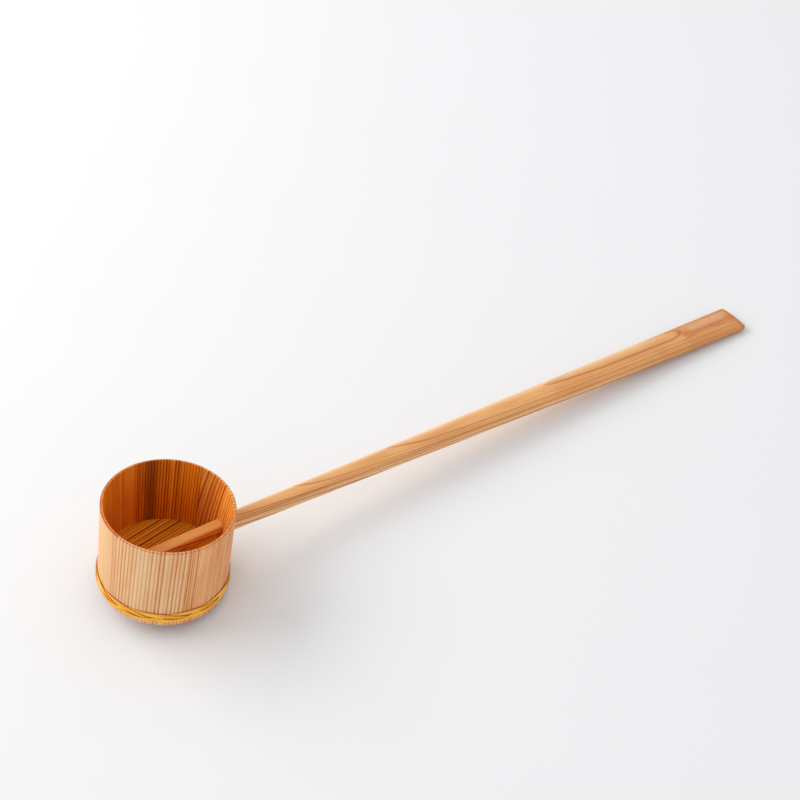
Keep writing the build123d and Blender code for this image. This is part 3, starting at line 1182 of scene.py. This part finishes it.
@dataclass
class Handle:
    """The handle: one cedar bar, squarish in the cup, wider and flatter towards its slanted far end.

    It is a little slimmer inside the cup than outside, and the change lies hidden in the wall.
    """

    cup: Cup
    start_height: float = 28.5 * MM
    rise: float = 5.9
    reach: float = 487.6 * MM
    root_width: float = 9.6 * MM
    root_depth: float = 9.5 * MM
    root_crown: float = 0.8 * MM
    root_corner: float = 2.3 * MM
    end_width: float = 26.6 * MM
    end_depth: float = 5.8 * MM
    end_crown: float = 1.1 * MM
    end_lift: float = 2.3 * MM
    lift_over: float = 70 * MM
    end_corner: float = 1.8 * MM
    inside_half: float = 4.2 * MM
    inside_deep: float = 4.2 * MM
    inside_step: float = 0.8 * MM
    top_fall: float = 0.045
    bottom_fall: float = 0.03
    wall_corner: float = 1.9 * MM
    wall_from: float = 41.2 * MM
    wall_to: float = 43.2 * MM
    wall_lead: float = 0.1 * MM
    wall_steps: int = 4
    least_corner: float = 0.3 * MM
    least_depth: float = 0.4 * MM
    end_skew: float = 2.6 * MM
    far_rounding: float = 2.2 * MM
    near_rounding: float = 2.0 * MM
    end_ease: float = 1.3 * MM
    socket_depth: float = 1.5 * MM
    clearance: float = 0.08 * MM
    way_before_wall: float = 1 * MM
    way_share: float = 0.2
    stations: int = 130
    flat_points: int = 19
    corner_points: int = 5
    side_rows: int = 5
    ease_steps: int = 4
    sharp_degrees: float = 50.0

    def at(self, root: float, end: float, distance: float) -> float:
        """Give a size at a distance along the handle, between its root and end values."""
        return root + (end - root) * distance / self.reach

    @property
    def frame(self) -> Matrix:
        """Give the handle's frame in the cup's frame: X along, Y across, Z towards its top."""
        return Matrix.Translation((0, 0, self.start_height)) @ Matrix.Rotation(-math.radians(self.rise), 4, "Y")

    @property
    def first(self) -> float:
        """Give the distance along the handle of its hidden end, in the socket of the stave opposite.

        Returns:
            The distance, which is below zero.
        """
        rise = math.radians(self.rise)
        height = self.start_height - math.tan(rise) * self.cup.inner(self.start_height)
        return -(self.cup.inner(height) / math.cos(rise) + self.socket_depth)

    def section(self, distance: float, growth: float) -> list[list[tuple[float, float]]]:
        """Give the section as rows of points from its top to its bottom.

        Args:
            distance: The distance along the handle.
            growth: How much larger the section is than the handle's own.

        Returns:
            Rows of places across and up.
        """
        share = min(1.0, max(0.0, (distance - self.wall_from) / (self.wall_to - self.wall_from)))
        outside = share * share * (3 - 2 * share)
        within = max(0.0, self.wall_from - distance)
        half = self.at(self.root_width, self.end_width, distance) / 2
        half = self.inside_half + (half - self.inside_half) * outside + growth
        deep = self.at(self.root_depth, self.end_depth, distance) / 2
        deep = self.inside_deep + (deep - self.inside_deep) * outside + growth
        crown = self.at(self.root_crown, self.end_crown, distance) * outside
        fall = self.inside_step * (1 - outside) + self.top_fall * within
        rise = self.end_lift * max(0.0, (distance - self.reach) / self.lift_over + 1) ** 2
        corner = self.at(self.root_corner, self.end_corner, distance)
        corner = self.wall_corner + (corner - self.wall_corner) * outside
        corner = max(corner + growth, self.least_corner)
        flat = half - corner
        places = [flat * (2 * index / (self.flat_points - 1) - 1) for index in range(self.flat_points)]
        bends = [math.pi / 2 * (index + 1) / self.corner_points for index in range(self.corner_points)]
        places = [-flat - corner * math.sin(bend) for bend in reversed(bends)] + places
        places += [flat + corner * math.sin(bend) for bend in bends]
        rows = []
        for row in range(self.side_rows):
            down = row / (self.side_rows - 1)
            level = []
            for across in places:
                over = max(0.0, abs(across) - flat)
                drop = corner - math.sqrt(max(0.0, corner**2 - over**2))
                top = deep - fall - crown * (across / half) ** 2 - drop
                bottom = drop - deep + rise * (across / half) ** 2 - self.bottom_fall * within
                level.append((across, top + (min(bottom, top - self.least_depth) - top) * down))
            rows.append(level)
        return rows

    def end_distance(self, share: float) -> float:
        """Give how far the slanted, round-cornered end reaches at a share of the half width.

        Args:
            share: The place across as a share of the half width, from -1 to 1.

        Returns:
            The distance along the handle.
        """
        half = self.end_width / 2
        rounding = self.far_rounding if share > 0 else self.near_rounding
        over = max(0.0, abs(share) * half - (half - rounding))
        pull = rounding - math.sqrt(max(0.0, rounding**2 - over**2))
        return self.reach - self.end_skew / 2 * share - pull

    def ring(self, gone: float, inset: float, pull: float) -> list[list[Vector]]:
        """Give the points of one ring of the handle, in the handle's frame.

        Args:
            gone: The share of its length, from the socket to the far end.
            inset: How much smaller than the full section it is.
            pull: How far it lies short of its place.

        Returns:
            Rows of points.
        """
        middle = self.first + (self.reach - self.first) * gone
        rows = self.section(middle, -inset)
        half = max(abs(across) for across, _ in rows[0])
        return [[
            Vector((middle - (self.reach - self.end_distance(across / half)) * gone**3 - pull, across, up))
            for across, up in level] for level in rows]

    def wall_stops(self) -> list[float]:
        """Give the distances at which the section is set while it changes its form in the wall."""
        span = self.wall_to - self.wall_from
        return [self.wall_from + span * index / self.wall_steps for index in range(self.wall_steps + 1)]

    def skin(self, name: str, rings: list[list[list[Vector]]]) -> bpy.types.Mesh:
        """Join rings of points into a closed mesh in the cup's frame.

        Args:
            name: The mesh's name.
            rings: Rings of rows of points, in the handle's frame.

        Returns:
            The mesh.
        """
        bm, frame = bmesh.new(), self.frame
        rows, columns = len(rings[0]), len(rings[0][0])
        loop = [(0, c) for c in range(columns)]
        loop += [(r, columns - 1) for r in range(1, rows)]
        loop += [(rows - 1, c) for c in range(columns - 2, -1, -1)]
        loop += [(r, 0) for r in range(rows - 2, 0, -1)]
        whole = [(r, c) for r in range(rows) for c in range(columns)]
        layers = []
        for ring in rings:
            places = whole if ring is rings[0] or ring is rings[-1] else loop
            layers.append({(r, c): bm.verts.new(frame @ ring[r][c]) for r, c in places})
        for near, far in zip(layers, layers[1:]):
            for a, b in zip(loop, loop[1:] + loop[:1]):
                bm.faces.new((near[a], near[b], far[b], far[a]))
        for layer in (layers[0], layers[-1]):
            for r in range(rows - 1):
                for c in range(columns - 1):
                    corners = ((r, c), (r, c + 1), (r + 1, c + 1), (r + 1, c))
                    bm.faces.new([layer[corner] for corner in corners])
        mesh = bpy.data.meshes.new(name)
        bm.to_mesh(mesh)
        bm.free()
        return mesh

    def way(self) -> bpy.types.Object:
        """Build the shape that the handle's mortise and socket are cut with, in the cup's frame.

        In the wall it widens a little before the handle does, so that the two never cut each other.

        Returns:
            The cutting shape.
        """
        stops = [(d, d) for d in (self.first - self.clearance, self.wall_from - self.way_before_wall)]
        stops += [(distance - self.wall_lead, distance) for distance in self.wall_stops()]
        stops.append((self.reach * self.way_share, self.reach * self.way_share))
        rings = [[[
            Vector((place, across, up)) for across, up in level]
            for level in self.section(distance, self.clearance)] for place, distance in stops]
        mesh = self.skin("way_for_handle", rings)
        clean(mesh, self.cup.sharp_degrees)
        return new_object("way_for_handle", mesh)

    def build(self, bench: Bench) -> bpy.types.Object:
        """Build and dress the handle.

        Args:
            bench: What the pieces share.

        Returns:
            The handle.
        """
        length = self.reach - self.first
        distances = [self.first + length * index / (self.stations - 1) for index in range(self.stations)]
        distances = [distance for distance in distances if not self.wall_from < distance < self.wall_to]
        shares = [(distance - self.first) / length for distance in sorted(distances + self.wall_stops())]
        rings = [self.ring(gone, 0.0, self.end_ease * gone**3) for gone in shares]
        for index in range(1, self.ease_steps + 1):
            bend = math.pi / 2 * index / self.ease_steps
            inset, pull = self.end_ease * (1 - math.cos(bend)), self.end_ease * (1 - math.sin(bend))
            rings.append(self.ring(1.0, inset, pull))
        handle = new_object("dressed_handle", self.skin("dressed_handle", rings))
        material = CedarHandleFinish().material(Bench(bench.groups, bench.place @ self.frame))
        return dress(handle, bench, material, "handle", self.sharp_degrees)


@dataclass
class Hoop:
    """The hoop: one long bamboo strip that goes three times round and weaves over and under itself."""

    cup: Cup
    turns: int = 3
    waves: int = 11
    width: float = 2.8 * MM
    thickness: float = 0.5 * MM
    crown: float = 0.12 * MM
    middle_height: float = 7.7 * MM
    tilt: float = 1.3 * MM
    tilt_azimuth: float = -19.0
    swing: float = 2.86 * MM
    third_swing: float = 0.13
    lift: float = 0.38 * MM
    second_lift: float = -0.1455
    lean: float = 13.0
    lean_first: float = 0.284
    lean_third: float = 0.716
    phase: float = 198.8
    start_wave: float = 840.0
    end_gap: float = 1.2 * MM
    seat: float = 0.78 * MM
    edge_share: float = 0.3
    skin_points: int = 7
    steps: int = 720
    sharp_degrees: float = 40.0

    def outline(self) -> list[Vector]:
        """Give the strip's section: X across its width, Y out from the cup, its skin slightly crowned.

        Returns:
            The closed outline's points.
        """
        half, thick = self.width / 2, self.thickness / 2
        edge = thick * self.edge_share
        shares = [1 - 2 * index / (self.skin_points - 1) for index in range(self.skin_points)]
        skin = [Vector((share * (half - edge), thick - self.crown * share**2, 0)) for share in shares]
        back = [Vector((across, -thick, 0)) for across in (-half + edge, 0, half - edge)]
        return [Vector((half, 0, 0)), *skin, Vector((-half, 0, 0)), *back]

    def rule(self) -> GeometryTree:
        """Build the tree that carries the strip's section along its woven path.

        Returns:
            The tree.
        """
        cup, half_gap = self.cup, self.end_gap / 2 / self.cup.base_radius
        w = GeometryTree("woven strip", {
            "Start Angle": math.radians(self.phase + self.start_wave * self.turns / self.waves) + half_gap,
            "Path Angle": 2 * math.pi * self.turns - 2 * half_gap,
            "Waves Per Turn": self.waves / self.turns,
            "Wave Phase": math.radians(self.phase),
            "Swing": self.swing,
            "Third Swing": self.swing * self.third_swing,
            "Lift": self.lift,
            "Second Lift": self.lift * self.second_lift,
            "First Lean": math.radians(self.lean) * self.lean_first,
            "Third Lean": math.radians(self.lean) * self.lean_third,
            "Middle Height": self.middle_height,
            "Tilt": self.tilt,
            "Tilt Azimuth": math.radians(self.tilt_azimuth),
            "Foot Radius": cup.base_radius,
            "Wall Taper": (cup.rim_radius - cup.base_radius) / cup.height,
            "Seat": self.seat,
            "Steps": float(self.steps),
            "Sides": float(len(self.outline())),
        })
        value = w.given
        grid, gone, (across, through, _) = w.sheet()
        turn = value["Start Angle"] + gone * value["Path Angle"]
        wave = (turn - value["Wave Phase"]) * value["Waves Per Turn"]
        climb = wave.cosine() * value["Swing"] - (wave * 3.0).cosine() * value["Third Swing"]
        lift = (wave * 2.0).sine() * value["Lift"] + (wave * 4.0).sine() * value["Second Lift"]
        lean = wave.sine() * value["First Lean"] - (wave * 3.0).sine() * value["Third Lean"]
        out = across * lean.sine() + through * lean.cosine()
        up = across * lean.cosine() - through * lean.sine()
        tilted = (turn - value["Tilt Azimuth"]).cosine() * value["Tilt"]
        level = (value["Middle Height"] + tilted) + (climb + up)
        radius = value["Foot Radius"] + value["Wall Taper"] * level + value["Seat"] + (lift + out)
        inputs = {"Geometry": grid["Mesh"], "Name": UV_NAME, "Value": grid["UV Map"]}
        mapped = w.out("GeometryNodeStoreNamedAttribute", inputs, data_type="FLOAT2", domain="CORNER")
        w.end_in(w.set_round(mapped, radius, turn, level))
        return w

    def build(self, bench: Bench) -> bpy.types.Object:
        """Build and dress the hoop.

        Args:
            bench: What the pieces share.

        Returns:
            The hoop.
        """
        material = BambooFinish().material()
        hoop = self.rule().shape("dressed_bamboo_hoop", self.outline(), material)
        return dress(hoop, bench, material, "bamboo_hoop", self.sharp_degrees, fill=True)


@dataclass(frozen=True)
class Pins:
    """The bamboo pins inside the joints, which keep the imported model's own shapes."""

    wood: Colour = shown(222, 188, 128)
    dark: Colour = shown(190, 146, 84)
    fibre_scale: float = 2600.0
    fibre_tone: Ramp = (0.35, 0.65)
    roughness: float = 0.6

    def dress(self, nodes: dict[str, bpy.types.Object]) -> int:
        """Give every pin a plain split bamboo finish.

        Args:
            nodes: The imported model's objects by name.

        Returns:
            How many pins there are.
        """
        w = Paint("bamboo_pin_wood")
        fibre = w.noise(w.place(), self.fibre_scale, 3.0)
        material = w.finish(w.mix(fibre.ease(*self.fibre_tone), self.wood, self.dark), self.roughness)
        pins = [obj for name, obj in nodes.items() if name.startswith("stave_pin")]
        for pin in pins:
            pin.data.materials.clear()
            pin.data.materials.append(material)
        return len(pins)


@dataclass(frozen=True)
class Studio:
    """The pale table, the soft light from behind on the left, and the camera."""

    floor_colour: Colour = shown(233, 234, 234)
    floor_mottle: float = 0.985
    mottle_scale: float = 9.0
    floor_roughness: float = 0.75
    floor_specular: float = 0.2
    floor_half: float = 40.0
    world_colour: Colour = shown(252, 252, 255)
    world_strength: float = 0.82
    key_azimuth: float = 130.0
    key_elevation: float = 36.0
    key_distance: float = 2.3
    key_size: tuple[float, float] = (2.2, 1.3)
    key_power: float = 32.5
    key_colour: Colour = (1.0, 0.985, 0.965)
    camera_place: tuple[float, ...] = (-0.4729, -0.7070, 0.9284)
    camera_target: tuple[float, ...] = (0.0021, 0.0634, 0.0)
    focal_pixels: float = 1746.0
    picture_pixels: float = 800.0
    sensor: float = 36.0
    nearest_seen: float = 0.01

    @staticmethod
    def aim(obj: bpy.types.Object, place: Vector, target: Vector) -> None:
        """Put an object at a place and let it look at a target."""
        obj.location = place
        obj.rotation_euler = (target - place).to_track_quat("-Z", "Y").to_euler()

    def build_floor(self) -> None:
        """Lay the pale table."""
        half = self.floor_half
        mesh = bpy.data.meshes.new("table_top")
        mesh.from_pydata([(-half, -half, 0), (half, -half, 0), (half, half, 0), (-half, half, 0)], [], [(0, 1, 2, 3)])
        floor = new_object("table_top", mesh)
        w = Paint("pale_table")
        darker = tuple(level * self.floor_mottle for level in self.floor_colour)
        colour = w.mix(w.noise(w.place(), self.mottle_scale), self.floor_colour, darker)
        mesh.materials.append(w.finish(colour, self.floor_roughness, self.floor_specular))

    def build_light(self) -> None:
        """Set the soft key light and the even light of the room."""
        lamp = bpy.data.lights.new("window", "AREA")
        lamp.shape = "RECTANGLE"
        lamp.size, lamp.size_y = self.key_size
        lamp.energy = self.key_power
        lamp.color = self.key_colour
        turn = Matrix.Rotation(math.radians(self.key_azimuth), 3, "Z")
        turn = turn @ Matrix.Rotation(-math.radians(self.key_elevation), 3, "Y")
        self.aim(new_object("window", lamp), turn @ Vector((self.key_distance, 0, 0)), Vector())
        world = bpy.data.worlds.new("room")
        world.use_nodes = True
        w, background = Wiring(world.node_tree), world.node_tree.nodes["Background"]
        w.feed(background.inputs["Color"], self.world_colour)
        w.feed(background.inputs["Strength"], self.world_strength)
        bpy.context.scene.world = world
        bpy.context.scene.view_settings.view_transform = "Standard"

    def build_camera(self) -> None:
        """Set the camera where the photograph was taken from."""
        data = bpy.data.cameras.new("camera")
        data.sensor_width = self.sensor
        data.sensor_fit = "HORIZONTAL"
        data.lens = self.sensor * self.focal_pixels / self.picture_pixels
        data.clip_start = self.nearest_seen
        camera = new_object("camera", data)
        self.aim(camera, Vector(self.camera_place), Vector(self.camera_target))
        bpy.context.scene.camera = camera


def main() -> None:
    """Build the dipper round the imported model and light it."""
    logging.basicConfig(level=logging.INFO, format="%(name)s %(message)s")
    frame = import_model()
    studio = Studio()
    studio.build_camera()
    studio.build_floor()
    studio.build_light()

    cup = Cup()
    handle, hoop = Handle(cup), Hoop(cup)
    bench = Bench(GrainGroups(), cup.place(frame["record"]))
    way = handle.way()
    pieces = cup.build_staves(bench, way)
    bpy.data.objects.remove(way)
    pieces += [cup.build_board(bench), handle.build(bench), hoop.build(bench)]
    for piece in pieces:
        LOG.info("%s: %d points, %d faces", piece.name, len(piece.data.vertices), len(piece.data.polygons))
    LOG.info("pins dressed: %d", Pins().dress(frame["nodes"]))


if __name__ == "__main__":
    main()
